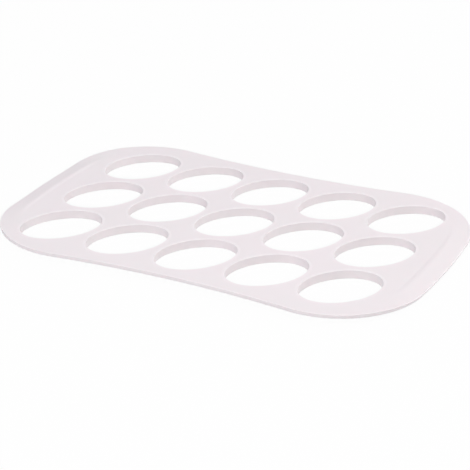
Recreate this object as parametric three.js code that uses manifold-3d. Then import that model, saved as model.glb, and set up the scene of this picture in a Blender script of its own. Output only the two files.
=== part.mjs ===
import * as THREE from 'three';
import { mergeVertices } from 'three/addons/utils/BufferGeometryUtils.js';
import Module from 'manifold-3d';

// Silicone mould for oval meringues, in millimetres, +Z up, +X along its length.
// It is one soft moulding: a level sheet with leaning oval openings, a wall that hangs from
// the edge of each opening and stands on the baking tray, and a bevelled grip at each end.
// The origin is on the tray, under the middle of the sheet.

const wasm = await Module();
wasm.setup();

// Openings: their size is taken at the top of the sheet, and the long axis leans from +X
const columnCount = 5;
const rowCount = 3;
const openingLength = 71.5;
const openingWidth = 51.5;
const openingLean = THREE.MathUtils.degToRad(54.4);
const openingDepth = 7.6;
const openingDraft = 0.2;
const rimRound = 0.4;
const bridge = 7.65;

// Walls that hang below the sheet round the openings, thicker at the root than at the foot
const wallFoot = 1.7;
const wallRoot = 2.2;

// Sheet: margins are taken from the outermost openings, the side margin at the waist
const sheetThickness = 3.1;
const edgeRound = 0.5;
const endMargin = 33.1;
const sideMargin = 12.5;
const cornerRadius = 74;
const endRadius = 750;
const waistRadius = 845;

// Grips: a small step up from the sheet, then a bevel down to a thin edge that hangs lower
const gripWidth = 18.5;
const gripStepRun = 3.4;
const gripStepRise = 0.5;
const gripDrop = 2.5;
const gripEdgeThickness = 1.4;
const gripLength = 206;
const gripFullLength = 50;

// Steps of the curves, and how far a cut or a joint runs past the face that it crosses
const openingSteps = 40;
const roundSteps = 2;
const endSteps = 14;
const cornerSteps = 11;
const waistSteps = 10;
const overrun = 1;

const sheetTop = openingDepth;
const sheetBottom = openingDepth - sheetThickness;
const siliconeColour = '#ede6e9';

// Half of the oval's straight cut through its centre, in a direction turned from its long axis
function halfChord(turn) {
  const lengthwise = Math.cos(turn) / (openingLength / 2);
  const crosswise = Math.sin(turn) / (openingWidth / 2);
  return 1 / Math.hypot(lengthwise, crosswise);
}

// How far the oval reaches from its centre, in a direction turned from its long axis
function halfReach(turn) {
  return Math.hypot((Math.cos(turn) * openingLength) / 2, (Math.sin(turn) * openingWidth) / 2);
}

const columnPitch = 2 * halfChord(openingLean) + bridge;
const rowPitch = 2 * halfChord(Math.PI / 2 - openingLean) + bridge;
const lastColumn = ((columnCount - 1) / 2) * columnPitch;
const lastRow = ((rowCount - 1) / 2) * rowPitch;
const halfLength = lastColumn + halfReach(openingLean) + endMargin;
const halfWaist = lastRow + halfReach(Math.PI / 2 - openingLean) + sideMargin;

// A closed solid through rings of equal count, which turn anticlockwise seen from above:
// bands join each ring to the one below it, and the first and last ring are closed flat
function loftDown(rings) {
  const count = rings[0].length;
  const positions = [];
  const addFace = (a, b, c) => positions.push(...a.toArray(), ...b.toArray(), ...c.toArray());
  for (let level = 0; level + 1 < rings.length; level += 1) {
    const upper = rings[level];
    const lower = rings[level + 1];
    for (let step = 0; step < count; step += 1) {
      const next = (step + 1) % count;
      addFace(upper[step], lower[step], lower[next]);
      addFace(upper[step], lower[next], upper[next]);
    }
  }
  const first = rings[0];
  const last = rings[rings.length - 1];
  for (const [a, b, c] of THREE.ShapeUtils.triangulateShape(flat(first), [])) {
    addFace(first[a], first[b], first[c]);
  }
  for (const [a, b, c] of THREE.ShapeUtils.triangulateShape(flat(last), [])) {
    addFace(last[a], last[c], last[b]);
  }
  const geometry = new THREE.BufferGeometry();
  geometry.setAttribute('position', new THREE.Float32BufferAttribute(positions, 3));
  return geometry;
}

function flat(ring) {
  return ring.map((point) => new THREE.Vector2(point.x, point.y));
}

// A geometry as a solid that can be joined and cut
function toSolid(geometry) {
  const merged = mergeVertices(geometry);
  const vertProperties = new Float32Array(merged.attributes.position.array);
  const triVerts = new Uint32Array(merged.index.array);
  return new wasm.Manifold(new wasm.Mesh({ numProp: 3, vertProperties, triVerts }));
}

// A solid as a geometry with flat faces
function toGeometry(solid) {
  const { vertProperties, triVerts } = solid.getMesh();
  const geometry = new THREE.BufferGeometry();
  geometry.setAttribute('position', new THREE.BufferAttribute(vertProperties, 3));
  geometry.setIndex(new THREE.BufferAttribute(triVerts, 1));
  const faceted = geometry.toNonIndexed();
  faceted.computeVertexNormals();
  return faceted;
}

// The sheet's outline as tangent arcs: a bowed end, a round corner and a hollow waist.
// The other half of it is the same three kinds of arc, turned by half a turn.
function outlineArcs() {
  const endCentre = new THREE.Vector2(halfLength - endRadius, 0);
  const waistCentre = new THREE.Vector2(0, halfWaist + waistRadius);
  const endToCorner = endRadius - cornerRadius;
  const waistToCorner = waistRadius + cornerRadius;
  const line = waistCentre.clone().sub(endCentre);
  const apart = line.length();
  const along = (endToCorner ** 2 - waistToCorner ** 2 + apart ** 2) / (2 * apart);
  const across = Math.sqrt(endToCorner ** 2 - along ** 2);
  const unit = line.normalize();
  const corner = endCentre.clone().addScaledVector(unit, along);
  corner.add(new THREE.Vector2(unit.y, -unit.x).multiplyScalar(across));
  const endTurn = corner.clone().sub(endCentre).angle();
  const waistTurn = waistCentre.clone().sub(corner).angle();

  const arcs = [];
  for (const turn of [0, Math.PI]) {
    const side = Math.cos(turn);
    const addArc = (x, y, radius, from, to, clockwise, steps) => {
      const curve = new THREE.ArcCurve(side * x, side * y, radius, from + turn, to + turn, clockwise);
      arcs.push({ curve, steps });
    };
    addArc(endCentre.x, 0, endRadius, -endTurn, endTurn, false, endSteps);
    addArc(corner.x, corner.y, cornerRadius, endTurn, waistTurn, false, cornerSteps);
    addArc(0, waistCentre.y, waistRadius, waistTurn - Math.PI, -waistTurn, true, waistSteps);
    addArc(-corner.x, corner.y, cornerRadius, Math.PI - waistTurn, Math.PI - endTurn, false, cornerSteps);
  }
  return arcs;
}

// Points round the outline, anticlockwise, each with the way out of the sheet
function outlinePoints() {
  const points = [];
  for (const { curve, steps } of outlineArcs()) {
    for (let step = 0; step < steps; step += 1) {
      const place = curve.getPoint(step / steps);
      const radial = place.clone().sub(new THREE.Vector2(curve.aX, curve.aY)).normalize();
      const outward = curve.aClockwise ? radial.negate() : radial;
      points.push({ place, outward });
    }
  }
  return points;
}

// The section through the sheet's edge, from the inside of the grip over its crest and round
// the edge to the underside, as pairs of inset and height. The underside slopes below the
// bevel. A grip share of 0 is the plain edge, and 1 is the full grip.
function edgeSection(gripShare) {
  const crest = sheetTop + gripStepRise * gripShare;
  const edgeTop = sheetTop - gripDrop * gripShare;
  const edgeThickness = THREE.MathUtils.lerp(sheetThickness, gripEdgeThickness, gripShare);
  const round = Math.min(edgeRound, edgeThickness);
  const bevelStart = gripWidth - gripStepRun;
  const section = [[gripWidth, sheetTop], [bevelStart, crest]];
  for (let step = 0; step <= roundSteps; step += 1) {
    const turn = ((step / roundSteps) * Math.PI) / 2;
    section.push([round * (1 - Math.sin(turn)), edgeTop - round * (1 - Math.cos(turn))]);
  }
  section.push([0, edgeTop - edgeThickness], [bevelStart, sheetBottom]);
  return section;
}

// The sheet, with the edge section carried round its outline
function makeSheet() {
  const rings = [];
  for (const { place, outward } of outlinePoints()) {
    const fade = THREE.MathUtils.smoothstep(Math.abs(place.y), gripFullLength / 2, gripLength / 2);
    edgeSection(1 - fade).forEach(([inset, height], level) => {
      const point = place.clone().addScaledVector(outward, -inset);
      rings[level] = rings[level] ?? [];
      rings[level].push(new THREE.Vector3(point.x, point.y, height));
    });
  }
  return toSolid(loftDown(rings));
}

// The oval at a height, grown outwards all round
function ovalRing(grow, height) {
  const ring = [];
  for (let step = 0; step < openingSteps; step += 1) {
    const turn = (step / openingSteps) * 2 * Math.PI;
    const point = new THREE.Vector2(
      (Math.cos(turn) * openingLength) / 2,
      (Math.sin(turn) * openingWidth) / 2,
    );
    const normal = new THREE.Vector2(Math.cos(turn) / openingLength, Math.sin(turn) / openingWidth);
    point.addScaledVector(normal.normalize(), grow);
    point.rotateAround(new THREE.Vector2(), openingLean);
    ring.push(new THREE.Vector3(point.x, point.y, height));
  }
  return ring;
}

// The opening widens downwards by its draft
function draftAt(height) {
  return openingDraft * (1 - height / sheetTop);
}

// One opening's wall, still filled, from the middle of the sheet to its foot on the tray
function makeWall() {
  return toSolid(loftDown([
    ovalRing(draftAt(sheetBottom) + wallRoot, sheetBottom + sheetThickness / 2),
    ovalRing(draftAt(sheetBottom) + wallRoot, sheetBottom),
    ovalRing(draftAt(0) + wallFoot, 0),
  ]));
}

// What one opening takes away, with the round of its rim at the top
function makeOpening() {
  const rings = [ovalRing(rimRound, sheetTop + overrun)];
  for (let step = roundSteps; step >= 0; step -= 1) {
    const turn = ((step / roundSteps) * Math.PI) / 2;
    const height = sheetTop - rimRound * (1 - Math.sin(turn));
    rings.push(ovalRing(draftAt(height) + rimRound * (1 - Math.cos(turn)), height));
  }
  rings.push(ovalRing(draftAt(-overrun), -overrun));
  return toSolid(loftDown(rings));
}

// The centres of the openings, in columns along +X and rows along +Y
function openingCentres() {
  const centres = [];
  for (let column = 0; column < columnCount; column += 1) {
    for (let row = 0; row < rowCount; row += 1) {
      centres.push([column * columnPitch - lastColumn, row * rowPitch - lastRow, 0]);
    }
  }
  return centres;
}

function makeMould() {
  const wall = makeWall();
  const opening = makeOpening();
  const centres = openingCentres();
  let mould = makeSheet();
  for (const centre of centres) {
    mould = mould.add(wall.translate(centre));
  }
  for (const centre of centres) {
    mould = mould.subtract(opening.translate(centre));
  }
  const silicone = new THREE.MeshStandardMaterial({
    color: siliconeColour,
    roughness: 0.5,
    metalness: 0,
  });
  const mesh = new THREE.Mesh(toGeometry(mould), silicone);
  mesh.name = 'silicone_mould';
  return mesh;
}

const group = new THREE.Group();
group.add(makeMould());

export default group;
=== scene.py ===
import bmesh
import bpy
import numpy as np
from mathutils import Matrix, Vector
from mathutils.geometry import delaunay_2d_cdt


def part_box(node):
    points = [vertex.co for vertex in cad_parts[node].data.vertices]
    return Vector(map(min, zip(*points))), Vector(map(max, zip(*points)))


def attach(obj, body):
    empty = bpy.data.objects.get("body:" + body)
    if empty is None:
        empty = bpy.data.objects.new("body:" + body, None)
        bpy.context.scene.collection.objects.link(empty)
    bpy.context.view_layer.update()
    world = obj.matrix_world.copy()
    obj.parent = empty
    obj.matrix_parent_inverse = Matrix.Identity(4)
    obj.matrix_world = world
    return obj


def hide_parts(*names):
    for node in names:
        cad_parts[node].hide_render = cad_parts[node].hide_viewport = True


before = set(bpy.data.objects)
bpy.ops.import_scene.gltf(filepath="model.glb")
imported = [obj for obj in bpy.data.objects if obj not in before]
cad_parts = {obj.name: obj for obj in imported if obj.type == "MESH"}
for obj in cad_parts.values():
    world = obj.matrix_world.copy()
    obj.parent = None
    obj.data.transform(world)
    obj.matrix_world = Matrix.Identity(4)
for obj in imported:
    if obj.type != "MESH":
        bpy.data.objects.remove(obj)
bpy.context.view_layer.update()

# Silicone mould for oval meringues: the finished moulding, its material and the photo set.
# Lengths are in metres. The moulding stands where the CAD model's solid stands.

MM = 0.001
_, node_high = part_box("silicone_mould")

# Openings, measured at the top of the sheet, and how they are laid out
COLUMNS = 5
ROWS = 3
OPENING_LENGTH = 71.5 * MM
OPENING_WIDTH = 51.5 * MM
OPENING_LEAN = np.radians(54.4)
OPENING_DEPTH = 7.6 * MM
OPENING_DRAFT = 0.2 * MM
RIM_ROUND = 0.4 * MM
BRIDGE = 7.65 * MM

# Walls under the sheet round the openings
WALL_FOOT = 1.7 * MM
WALL_ROOT = 2.2 * MM
FOOT_ROUND = 0.4 * MM
ROOT_ROUND = 0.5 * MM

# Sheet and grips
SHEET_THICKNESS = 3.1 * MM
SHEET_TOP = OPENING_DEPTH
SHEET_BOTTOM = OPENING_DEPTH - SHEET_THICKNESS
HALF_LENGTH = node_high.x
HALF_WIDTH = node_high.y
EDGE_ROUND = 0.5 * MM
UNDER_ROUND = 0.3 * MM
CORNER_RADIUS = 74 * MM
END_RADIUS = 750 * MM
WAIST_RADIUS = 845 * MM
SIDE_MARGIN = 12.5 * MM
GRIP_WIDTH = 18.5 * MM
GRIP_STEP_RUN = 3.4 * MM
GRIP_STEP_RISE = 0.5 * MM
GRIP_CREST_RUN = 3 * MM
GRIP_DROP = 2.5 * MM
GRIP_EDGE_THICKNESS = 1.4 * MM
GRIP_LENGTH = 206 * MM
GRIP_FULL_LENGTH = 50 * MM

# Painted highlight round the openings: the band on the sheet beside each opening, the run
# over which it fades, and the share of painted highlight on it, where the round of the rim is 1
RIM_BAND = 3 * MM
RIM_FADE = 1 * MM
BAND_PAINTED_HIGHLIGHT = 0.22

# Mesh: the flat band kept beside each round, the band along the plain edge, and at each end
# the length over which that band is as wide as the grip, with its fade beyond it
FLAT_BAND = 0.25 * MM
PLAIN_BAND = 4 * MM
BAND_FULL_LENGTH = 170 * MM
BAND_FADE = 26 * MM

# Mesh: steps round the oval and the outline, points on each stretch of the sections, and the
# net of points on the flat faces
OVAL_STEPS = 120
ARC_STEPS = {"end": 90, "corner": 60, "waist": 60}
RIM_POINTS = 9
WALL_POINTS = 6
SMALL_ROUND_POINTS = 5
WALL_OUTSIDE_POINTS = 4
GRIP_STEP_POINTS = 9
GRIP_CREST_POINTS = 7
BEVEL_SHARES = (0.25, 0.5, 0.75, 0.95, 1.0)
EDGE_ROUND_POINTS = 7
UNDER_ROUND_POINTS = 4
UNDERSIDE_SHARES = (0.05, 0.35, 0.65, 1.0)
FILL_SPACING = 4 * MM
FILL_CLEARANCE = 1.2 * MM
BORDER_BLOCKS = 8
WELD = 0.002 * MM

# Silicone: display colours from 0 to 255, noises as waves per metre and octaves, the skin's
# roughness and relief, and the light that goes into it
DULL_SILICONE = (241, 236, 236)
PINK_SILICONE = (247, 236, 240)
# Colour of the painted highlight on the round of each rim and along the top of the edge
PAINTED_HIGHLIGHT_COLOUR = (255, 248, 250)
CLOUD_NOISE = (14.0, 3.0)
FINE_CLOUD_NOISE = (70.0, 2.0)
FINE_CLOUD_SHARE = 0.3
ROUGHNESS = 0.44
ROUGHNESS_CHANGE = 0.12
GRAIN_NOISE = (2600.0, 2.0)
GRAIN_HEIGHT = 0.02 * MM
GRAIN_STRENGTH = 0.25
WAVE_NOISE = (32.0, 1.0)
WAVE_HEIGHT = 0.4 * MM
WAVE_STRENGTH = 0.3
SILICONE_IOR = 1.42
MILKY_SHARE = 0.15
MILKY_DEPTH = 1.2 * MM
MILKY_TINT = (1.0, 0.75, 0.8)

# Camera: angles in degrees, the lens in millimetres
VIEW_AZIMUTH = 26.524
VIEW_ELEVATION = 25.105
VIEW_ROLL = 0.140
VIEW_LENS = 130.86
VIEW_DISTANCE = 1419 * MM
VIEW_AIM = (12.09 * MM, -23.20 * MM, SHEET_TOP)
VIEW_REACH = 20.0

# Floor and room: the glow is the share of plain white in what the camera sees of the floor
WHITE = (1, 1, 1, 1)
FLOOR_HALF = 4.0
FLOOR_COLOUR = (0.8, 0.8, 0.8, 1)
FLOOR_GLOW = 0.975
ROOM_LIGHT = 0.1

# Lamps: azimuth and elevation in degrees, watts and tint of each
LAMP_SIZE = 1.0
LAMP_DISTANCE = 2.0
GLARE_ELEVATION = 40
LAMPS = {
    "front_lamp": (270, 25, 13.6, (1, 1, 1)),
    "near_left_lamp": (225, 25, 3.1, (0.92, 0.94, 1.03)),
    "far_right_lamp": (45, 25, 15.6, (1, 1, 1)),
    "near_right_top_lamp": (315, 55, 8.0, (1, 1, 1)),
    "right_top_lamp": (0, 55, 7.1, (1, 1, 1)),
    "far_left_top_lamp": (135, 55, 7.9, (0.98, 0.99, 1.03)),
    "near_left_top_lamp": (225, 55, 2.6, (0.93, 0.93, 1.03)),
}


def smoothstep(value, low, high):
    """0 below low, 1 above high, and the cubic 3s^2 - 2s^3 between them."""
    share = np.clip((value - low) / (high - low), 0.0, 1.0)
    return share * share * (3 - 2 * share)


def half_chord(turn):
    """Half of the oval's straight cut through its centre, turned from its long axis."""
    return 1 / np.hypot(2 * np.cos(turn) / OPENING_LENGTH, 2 * np.sin(turn) / OPENING_WIDTH)


def half_reach(turn):
    """How far the oval reaches from its centre, turned from its long axis."""
    return np.hypot(np.cos(turn) * OPENING_LENGTH, np.sin(turn) * OPENING_WIDTH) / 2


COLUMN_PITCH = 2 * half_chord(OPENING_LEAN) + BRIDGE
ROW_PITCH = 2 * half_chord(np.pi / 2 - OPENING_LEAN) + BRIDGE
LAST_ROW = (ROWS - 1) / 2 * ROW_PITCH
HALF_WAIST = LAST_ROW + half_reach(np.pi / 2 - OPENING_LEAN) + SIDE_MARGIN


def opening_centres():
    """The centres of the openings as rows of x and y."""
    columns = (np.arange(COLUMNS) - (COLUMNS - 1) / 2) * COLUMN_PITCH
    rows = (np.arange(ROWS) - (ROWS - 1) / 2) * ROW_PITCH
    return np.stack(np.meshgrid(columns, rows, indexing="ij"), -1).reshape(-1, 2)


def oval_path():
    """Points and outward normals of the oval (L/2 cos t, W/2 sin t), turned by its lean."""
    turn = np.linspace(0, 2 * np.pi, OVAL_STEPS, endpoint=False)
    points = np.stack([np.cos(turn) * OPENING_LENGTH, np.sin(turn) * OPENING_WIDTH], -1) / 2
    normals = np.stack([np.cos(turn) / OPENING_LENGTH, np.sin(turn) / OPENING_WIDTH], -1)
    normals /= np.linalg.norm(normals, axis=1, keepdims=True)
    cosine, sine = np.cos(OPENING_LEAN), np.sin(OPENING_LEAN)
    lean = np.array([[cosine, sine], [-sine, cosine]])
    return points @ lean, normals @ lean


def arc(centre, radius, start, stop, steps, hollow=False):
    """Points and outward normals of an arc: centre + radius (cos t, sin t), end left off.
    On a hollow arc the normals point at its centre."""
    turn = np.linspace(start, stop, steps, endpoint=False)
    normals = np.stack([np.cos(turn), np.sin(turn)], -1)
    points = np.asarray(centre) + radius * normals
    return points, -normals if hollow else normals


def outline_path():
    """The sheet's outline: a bowed end, a round corner, a hollow waist and a round corner,
    tangent to each other, and the same four arcs turned by half a turn. Its y is scaled by a
    hair, so that it is as wide as the CAD solid, whose arcs have fewer steps."""
    end_centre = np.array([HALF_LENGTH - END_RADIUS, 0.0])
    waist_centre = np.array([0.0, HALF_WAIST + WAIST_RADIUS])
    end_to_corner = END_RADIUS - CORNER_RADIUS
    waist_to_corner = WAIST_RADIUS + CORNER_RADIUS
    line = waist_centre - end_centre
    apart = np.linalg.norm(line)
    along = (end_to_corner**2 - waist_to_corner**2 + apart**2) / (2 * apart)
    across = np.sqrt(end_to_corner**2 - along**2)
    unit = line / apart
    corner = end_centre + unit * along + np.array([unit[1], -unit[0]]) * across
    end_turn = np.arctan2(*(corner - end_centre)[::-1])
    waist_turn = np.arctan2(*(waist_centre - corner)[::-1])
    far_corner = corner * [-1, 1]
    corner_steps = ARC_STEPS["corner"]
    parts = [
        arc(end_centre, END_RADIUS, -end_turn, end_turn, ARC_STEPS["end"]),
        arc(corner, CORNER_RADIUS, end_turn, waist_turn, corner_steps),
        arc(waist_centre, WAIST_RADIUS, waist_turn - np.pi, -waist_turn, ARC_STEPS["waist"], True),
        arc(far_corner, CORNER_RADIUS, np.pi - waist_turn, np.pi - end_turn, corner_steps),
    ]
    points = np.concatenate([part[0] for part in parts])
    normals = np.concatenate([part[1] for part in parts])
    points = np.concatenate([points, -points])
    normals = np.concatenate([normals, -normals])
    points[:, 1] *= HALF_WIDTH / points[:, 1].max()
    return points, normals


def draft_at(height):
    """How much wider the opening is at a height than at the top of the sheet."""
    return OPENING_DRAFT * (1 - height / SHEET_TOP)


def opening_section():
    """The section of an opening's rim and wall, from the flat band on top over the rim, down
    the wall, round the foot and up to the flat band underneath. Its rows are how far it has
    grown from the oval, its height, and how much painted highlight the silicone has there.
    The rounds are quarter circles, and the wall's two faces are straight."""
    quarter = np.linspace(0, np.pi / 2, RIM_POINTS)
    rim_height = SHEET_TOP - RIM_ROUND * (1 - np.cos(quarter))
    rim_grow = draft_at(rim_height) + RIM_ROUND * (1 - np.sin(quarter))
    # Painted highlight: 1 on the round of the rim, a weaker share on the band beside it, none on
    # the wall
    rim_painted_highlight = np.ones(RIM_POINTS)
    rim_painted_highlight[0] = BAND_PAINTED_HIGHLIGHT
    rim_painted_highlight[-1] = 0
    band_grow = [RIM_BAND, RIM_BAND - RIM_FADE, RIM_ROUND + FLAT_BAND]
    wall_height = np.linspace(SHEET_TOP - RIM_ROUND, FOOT_ROUND, WALL_POINTS)[1:]

    turn = np.linspace(0, np.pi / 2, SMALL_ROUND_POINTS)
    inner_foot = draft_at(FOOT_ROUND)
    foot_in_grow = inner_foot + FOOT_ROUND * (1 - np.cos(turn[1:]))
    foot_in_height = FOOT_ROUND * (1 - np.sin(turn[1:]))
    outer_foot = inner_foot + WALL_FOOT
    foot_out_grow = outer_foot - FOOT_ROUND * (1 - np.sin(turn))
    foot_out_height = FOOT_ROUND * (1 - np.cos(turn))

    root = draft_at(SHEET_BOTTOM) + WALL_ROOT
    share = np.linspace(0, 1, WALL_OUTSIDE_POINTS)[1:]
    outside_grow = outer_foot + share * (root - outer_foot)
    outside_height = FOOT_ROUND + share * (SHEET_BOTTOM - ROOT_ROUND - FOOT_ROUND)
    root_grow = root + ROOT_ROUND * (1 - np.cos(turn[1:]))
    root_height = SHEET_BOTTOM - ROOT_ROUND * (1 - np.sin(turn[1:]))

    stretches = [
        (band_grow, SHEET_TOP, [0, BAND_PAINTED_HIGHLIGHT, BAND_PAINTED_HIGHLIGHT]),
        (rim_grow, rim_height, rim_painted_highlight),
        (draft_at(wall_height), wall_height, 0),
        (foot_in_grow, foot_in_height, 0),
        (foot_out_grow, foot_out_height, 0),
        (outside_grow, outside_height, 0),
        (root_grow, root_height, 0),
        ([root + ROOT_ROUND + FLAT_BAND], SHEET_BOTTOM, 0),
    ]
    return np.concatenate([np.stack(np.broadcast_arrays(*part)) for part in stretches], 1)


def edge_section(points):
    """The section of the sheet's edge at each outline point, as inset and height: a smooth
    step up, a crest that bends as the square of its run, a straight bevel tangent to the
    round edge, the side face, a small round, and an underside that slopes up to the flat.
    Away from the grips all but the edge is level. The third array is the painted highlight
    at each point of the section: 1 where the bevel meets the round."""
    reach = np.abs(points[:, 1])
    grip = 1 - smoothstep(reach, GRIP_FULL_LENGTH / 2, GRIP_LENGTH / 2)
    wide = 1 - smoothstep(reach, BAND_FULL_LENGTH / 2, BAND_FULL_LENGTH / 2 + BAND_FADE)
    band = PLAIN_BAND + (GRIP_WIDTH - PLAIN_BAND) * wide
    run = band * GRIP_STEP_RUN / GRIP_WIDTH
    bend = band * GRIP_CREST_RUN / GRIP_WIDTH
    crest = SHEET_TOP + GRIP_STEP_RISE * grip
    edge_top = SHEET_TOP - GRIP_DROP * grip
    edge_bottom = edge_top - SHEET_THICKNESS - (GRIP_EDGE_THICKNESS - SHEET_THICKNESS) * grip

    across = band - run - bend / 2 - EDGE_ROUND
    above = crest - edge_top + EDGE_ROUND
    slope = np.arctan2(above, across) - np.arcsin(EDGE_ROUND / np.hypot(above, across))
    fall = np.tan(slope)
    bevel_end = EDGE_ROUND * (1 - np.sin(slope))

    rows = [(band + FLAT_BAND, np.full_like(band, SHEET_TOP))]
    for share in np.linspace(0, 1, GRIP_STEP_POINTS):
        rise = GRIP_STEP_RISE * smoothstep(share, 0, 1)
        rows.append((band - run * share, SHEET_TOP + rise * grip))
    for share in np.linspace(0, 1, GRIP_CREST_POINTS)[1:]:
        rows.append((band - run - bend * share, crest - fall * bend * share**2 / 2))
    bevel_start = band - run - bend
    for share in BEVEL_SHARES:
        inset = bevel_start + (bevel_end - bevel_start) * share
        rows.append((inset, crest - fall * (band - run - bend / 2 - inset)))
    round_start = len(rows)
    for share in np.linspace(0, 1, EDGE_ROUND_POINTS)[1:]:
        turn = slope + (np.pi / 2 - slope) * share
        inset = EDGE_ROUND * (1 - np.sin(turn))
        rows.append((inset, edge_top - EDGE_ROUND * (1 - np.cos(turn))))

    under_slope = np.arctan2(SHEET_BOTTOM - edge_bottom, band - run)
    under_centre = edge_bottom + UNDER_ROUND * (np.tan(under_slope) + 1 / np.cos(under_slope))
    for share in np.linspace(0, 1, UNDER_ROUND_POINTS):
        turn = (np.pi / 2 + under_slope) * share
        inset = UNDER_ROUND * (1 - np.cos(turn))
        rows.append((inset, under_centre - UNDER_ROUND * np.sin(turn)))
    under_start = UNDER_ROUND * (1 + np.sin(under_slope))
    for share in UNDERSIDE_SHARES:
        inset = under_start + (band - run - under_start) * share
        rows.append((inset, edge_bottom + np.tan(under_slope) * inset))
    rows.append((band - run + FLAT_BAND, np.full_like(band, SHEET_BOTTOM)))

    inset = np.stack([row[0] for row in rows], 1)
    height = np.stack([row[1] for row in rows], 1)
    # Painted highlight along the top of the edge: on the bevel's last point and the round's first
    # two
    glow = np.zeros(len(rows))
    glow[round_start - 1:round_start + 2] = 1
    return inset, height, glow


def sweep(points, normals, offset, height):
    """A profile carried along a closed path: point + normal * offset at each height.
    Offset and height have one row per path point and one column per profile point."""
    plan = points[:, None, :] + normals[:, None, :] * offset[..., None]
    grid = np.concatenate([plan, height[..., None]], -1)
    around, along = grid.shape[:2]
    first = np.arange(around)[:, None] * along + np.arange(along - 1)[None, :]
    second = (np.arange(around)[:, None] + 1) % around * along + np.arange(along - 1)[None, :]
    faces = np.stack([first, second, second + 1, first + 1], -1).reshape(-1, 4)
    return grid, faces


def inside_loop(points, loop):
    """Which points lie in a closed loop, by counting the edges that a level ray crosses."""
    start, stop = loop, np.roll(loop, -1, axis=0)
    x, y = points[:, 0:1], points[:, 1:2]
    spans = (start[:, 1] > y) != (stop[:, 1] > y)
    rise = np.where(stop[:, 1] == start[:, 1], 1.0, stop[:, 1] - start[:, 1])
    cross = start[:, 0] + (y - start[:, 1]) / rise * (stop[:, 0] - start[:, 0])
    return (spans & (x < cross)).sum(1) % 2 == 1


def flat_fill(outer, holes):
    """Triangles between an outer loop and holes, on the loops' own points and on a
    staggered net of points that keeps clear of the loops."""
    low, high = outer.min(0), outer.max(0)
    columns = np.arange(low[0], high[0], FILL_SPACING)
    rows = np.arange(low[1], high[1], FILL_SPACING * np.sqrt(3) / 2)
    x, y = np.meshgrid(columns, rows)
    x = x + (np.arange(len(rows)) % 2)[:, None] * FILL_SPACING / 2
    net = np.stack([x.ravel(), y.ravel()], -1)
    net = net[inside_loop(net, outer)]
    loops = [outer, *holes]
    border = np.concatenate(loops)
    nearest = np.full(len(net), np.inf)
    for block in np.array_split(border, BORDER_BLOCKS):
        apart = np.linalg.norm(net[:, None] - block[None], axis=2).min(1)
        nearest = np.minimum(nearest, apart)
    keep = nearest > FILL_CLEARANCE
    for hole in holes:
        keep &= ~inside_loop(net, hole)
    points = np.concatenate([border, net[keep]])
    edges = []
    start = 0
    for loop in loops:
        index = np.arange(len(loop))
        edges.append(np.stack([index, (index + 1) % len(loop)], -1) + start)
        start += len(loop)
    edges = np.concatenate(edges)
    result = delaunay_2d_cdt([Vector(p) for p in points.tolist()], edges.tolist(), [], 0, 0.0)
    corners = np.array([tuple(v) for v in result[0]])
    triangles = np.array(result[2])
    middles = corners[triangles].mean(1)
    wanted = inside_loop(middles, outer)
    for hole in holes:
        wanted &= ~inside_loop(middles, hole)
    return corners, triangles[wanted]


def make_moulding():
    """The whole moulding as one closed mesh: the edge, the openings and the flat faces. Its
    attribute "rim" is the painted highlight: 1 on the openings' rounds and along the top of
    the edge, less beside the openings, for the material."""
    vertices, painted_highlights, faces = [], [], []
    total = 0

    # glow is the painted highlight of each point
    def add(points, new_faces, glow=0.0):
        nonlocal total
        vertices.append(points.reshape(-1, 3))
        painted_highlights.append(np.broadcast_to(glow, points.shape[:-1]).ravel())
        faces.extend((new_faces + total).tolist())
        total += len(vertices[-1])

    outline, outward = outline_path()
    inset, height, edge_painted_highlight = edge_section(outline)
    edge, edge_faces = sweep(outline, outward, -inset, height)
    add(edge, edge_faces, edge_painted_highlight)

    oval, oval_out = oval_path()
    grow, rim_height, rim_painted_highlight = opening_section()
    shape = (OVAL_STEPS, len(grow))
    grow, rim_height = np.broadcast_to(grow, shape), np.broadcast_to(rim_height, shape)
    opening, opening_faces = sweep(oval, oval_out, grow, rim_height)
    upper, lower = [], []
    for centre in opening_centres():
        placed = opening + [*centre, 0]
        add(placed, opening_faces, rim_painted_highlight)
        upper.append(placed[:, 0, :2])
        lower.append(placed[:, -1, :2])

    for outer, holes, level in (
        (edge[:, 0, :2], upper, SHEET_TOP),
        (edge[:, -1, :2], lower, SHEET_BOTTOM),
    ):
        corners, triangles = flat_fill(outer, holes)
        add(np.concatenate([corners, np.full((len(corners), 1), level)], 1), triangles)

    mesh = bpy.data.meshes.new("silicone_moulding")
    mesh.from_pydata(np.concatenate(vertices).tolist(), [], faces)
    # The painted highlight goes to the material as a point attribute
    rim = mesh.attributes.new("rim", "FLOAT", "POINT")
    rim.data.foreach_set("value", np.concatenate(painted_highlights))
    work = bmesh.new()
    work.from_mesh(mesh)
    bmesh.ops.remove_doubles(work, verts=work.verts, dist=WELD)
    loose = [vertex for vertex in work.verts if not vertex.link_faces]
    bmesh.ops.delete(work, geom=loose, context="VERTS")
    bmesh.ops.recalc_face_normals(work, faces=work.faces)
    work.to_mesh(mesh)
    work.free()
    mesh.polygons.foreach_set("use_smooth", np.ones(len(mesh.polygons), bool))
    piece = bpy.data.objects.new("silicone_moulding", mesh)
    bpy.context.scene.collection.objects.link(piece)
    return piece


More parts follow.
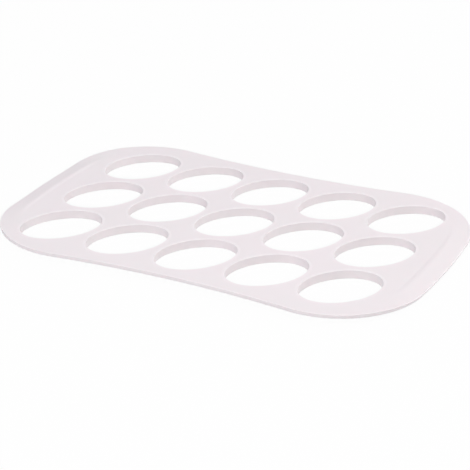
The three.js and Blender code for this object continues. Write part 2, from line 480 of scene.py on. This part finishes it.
class Shade:
    """A shader socket that can stand in a sum: each operator adds its Math node."""

    def __init__(self, tree, socket=None):
        self.tree = tree
        self.socket = socket

    def node(self, kind, settings=None, inputs=None, output=0):
        """Adds a node: its settings first, then its inputs' values or links. The output is
        named, or counted from 0 where several have one name."""
        made = self.tree.nodes.new(kind)
        for name, value in (settings or {}).items():
            setattr(made, name, value)
        for name, value in (inputs or {}).items():
            if isinstance(value, Shade):
                self.tree.links.new(value.socket, made.inputs[name])
            else:
                made.inputs[name].default_value = value
        return Shade(self.tree, made.outputs[output] if made.outputs else None)

    def math(self, operation, first, second):
        return self.node("ShaderNodeMath", {"operation": operation}, {0: first, 1: second})

    def __add__(self, other):
        return self.math("ADD", self, other)

    def __mul__(self, other):
        return self.math("MULTIPLY", self, other)

    __radd__ = __add__
    __rmul__ = __mul__

    def noise(self, place, waves, octaves):
        """Noise from 0 to 1, with its waves per metre and its count of finer layers."""
        values = {"Vector": place, "Scale": waves, "Detail": octaves}
        return self.node("ShaderNodeTexNoise", None, values)

    def bump(self, height, distance, strength, normal=None):
        """A bent normal, for a height from 0 to 1 over a distance, on top of another one."""
        values = {"Height": height, "Distance": distance, "Strength": strength}
        if normal:
            values["Normal"] = normal
        return self.node("ShaderNodeBump", None, values)

    def blend(self, share, low, high):
        """A colour between two colours, on the Mix node's colour sockets 6, 7 and 2."""
        colours = {0: share, 6: low, 7: high}
        return self.node("ShaderNodeMix", {"data_type": "RGBA"}, colours, output=2)

    def is_looked_at(self):
        """1 for what the camera, a mirror image or a clear body sees, and 0 for the light
        that falls on a matt surface."""
        rays = ("Is Camera Ray", "Is Glossy Ray", "Is Transmission Ray")
        camera, glossy, clear = [self.node("ShaderNodeLightPath", output=ray) for ray in rays]
        return self.math("MAXIMUM", self.math("MAXIMUM", camera, glossy), clear)


def linear(red, green, blue):
    """A display colour from 0 to 255, as the linear colour that a socket takes."""
    display = np.array([red, green, blue]) / 255
    low = display / 12.92
    high = ((display + 0.055) / 1.055) ** 2.4
    return (*np.where(display <= 0.04045, low, high).tolist(), 1.0)


def new_shade(owner):
    """Gives a material or a world an empty node tree, and a Shade that builds in it."""
    owner.use_nodes = True
    owner.node_tree.nodes.clear()
    return Shade(owner.node_tree)


def silicone_material():
    """Pinkish white silicone: faint clouding, a painted highlight on the openings' rounds and
    along the top of the edge, a soft satin skin with a fine moulded grain on wide shallow
    waves, and a little milky depth."""
    material = bpy.data.materials.new("silicone")
    shade = new_shade(material)
    place = shade.node("ShaderNodeTexCoord", output="Object")
    cloud = shade.noise(place, *CLOUD_NOISE)
    fine_cloud = shade.noise(place, *FINE_CLOUD_NOISE)
    clouding = cloud * (1 - FINE_CLOUD_SHARE) + fine_cloud * FINE_CLOUD_SHARE
    colour = shade.blend(clouding, linear(*DULL_SILICONE), linear(*PINK_SILICONE))
    # Painted highlight: blends the colour towards a lighter one where the attribute is 1
    rim = shade.node("ShaderNodeAttribute", {"attribute_name": "rim"}, output="Fac")
    colour = shade.blend(rim, colour, linear(*PAINTED_HIGHLIGHT_COLOUR))
    roughness = ROUGHNESS + fine_cloud * ROUGHNESS_CHANGE
    grain = shade.bump(shade.noise(place, *GRAIN_NOISE), GRAIN_HEIGHT, GRAIN_STRENGTH)
    relief = shade.bump(shade.noise(place, *WAVE_NOISE), WAVE_HEIGHT, WAVE_STRENGTH, grain)
    surface = shade.node("ShaderNodeBsdfPrincipled", None, {
        "Base Color": colour,
        "Roughness": roughness,
        "Normal": relief,
        "IOR": SILICONE_IOR,
        "Subsurface Weight": MILKY_SHARE,
        "Subsurface Radius": MILKY_TINT,
        "Subsurface Scale": MILKY_DEPTH,
    })
    shade.node("ShaderNodeOutputMaterial", None, {"Surface": surface})
    return material


def floor_material():
    """A pale floor: plain matt to the light that it passes on, and near white to the eye,
    with a share of its matt shading left, so that the mould's shadow stays."""
    material = bpy.data.materials.new("pale_floor")
    shade = new_shade(material)
    matt = shade.node("ShaderNodeBsdfDiffuse", None, {"Color": FLOOR_COLOUR})
    glow = shade.node("ShaderNodeEmission", None, {"Color": WHITE, "Strength": 1.0})
    share = shade.is_looked_at() * FLOOR_GLOW
    mixed = shade.node("ShaderNodeMixShader", None, {0: share, 1: matt, 2: glow})
    shade.node("ShaderNodeOutputMaterial", None, {"Surface": mixed})
    return material


def make_floor():
    """A level square, far larger than the view."""
    side = FLOOR_HALF
    mesh = bpy.data.meshes.new("floor")
    corners = [(-side, -side, 0), (side, -side, 0), (side, side, 0), (-side, side, 0)]
    mesh.from_pydata(corners, [], [(0, 1, 2, 3)])
    floor = bpy.data.objects.new("floor", mesh)
    bpy.context.scene.collection.objects.link(floor)
    mesh.materials.append(floor_material())


def make_world():
    """An even white room: dim as a light, and full white where it is looked at."""
    world = bpy.data.worlds.new("room")
    bpy.context.scene.world = world
    shade = new_shade(world)
    strength = ROOM_LIGHT + shade.is_looked_at() * (1 - ROOM_LIGHT)
    light = shade.node("ShaderNodeBackground", None, {"Color": WHITE, "Strength": strength})
    shade.node("ShaderNodeOutputWorld", None, {"Surface": light})


def turned_towards(place, target):
    """The rotation that points an object's -Z from a place at a target."""
    return (Vector(target) - Vector(place)).to_track_quat("-Z", "Y").to_matrix().to_4x4()


def make_lamp(name, azimuth, elevation, power, tint):
    """A soft square lamp that points at the middle of the mould, with a faint tint. The
    azimuth turns anticlockwise from +X, and the elevation is taken from the floor. Lamps below
    the glare elevation leave no mirror image on the skin: it would be a white glare there when
    the mould is seen from behind."""
    has_glare = elevation < GLARE_ELEVATION
    azimuth, elevation = np.radians([azimuth, elevation])
    level = np.cos(elevation)
    place = LAMP_DISTANCE * np.array([
        level * np.cos(azimuth), level * np.sin(azimuth), np.sin(elevation),
    ])
    data = bpy.data.lights.new(name, "AREA")
    data.shape = "SQUARE"
    data.size = LAMP_SIZE
    data.energy = power
    data.color = tint
    lamp = bpy.data.objects.new(name, data)
    lamp.matrix_world = Matrix.Translation(place.tolist()) @ turned_towards(place, (0, 0, 0))
    lamp.visible_glossy = not has_glare
    bpy.context.scene.collection.objects.link(lamp)


def make_camera():
    """The photo's view: the camera turns about a point on the sheet's top face."""
    azimuth, elevation, roll = np.radians([VIEW_AZIMUTH, VIEW_ELEVATION, VIEW_ROLL])
    back = Vector((
        np.sin(azimuth) * np.cos(elevation),
        -np.cos(azimuth) * np.cos(elevation),
        np.sin(elevation),
    ))
    right = Vector((0, 0, 1)).cross(back).normalized()
    up = back.cross(right)
    turn = Matrix((right, up, back)).transposed().to_4x4() @ Matrix.Rotation(roll, 4, "Z")
    data = bpy.data.cameras.new("camera")
    data.lens = VIEW_LENS
    data.clip_end = VIEW_REACH
    camera = bpy.data.objects.new("camera", data)
    camera.matrix_world = Matrix.Translation(Vector(VIEW_AIM) + back * VIEW_DISTANCE) @ turn
    bpy.context.scene.collection.objects.link(camera)
    bpy.context.scene.camera = camera


bpy.context.scene.view_settings.view_transform = "Standard"
make_camera()
make_world()
make_floor()
for lamp_name, (azimuth, elevation, power, tint) in LAMPS.items():
    make_lamp(lamp_name, azimuth, elevation, power, tint)

moulding = make_moulding()
moulding.data.materials.append(silicone_material())
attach(moulding, "root")
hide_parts("silicone_mould")
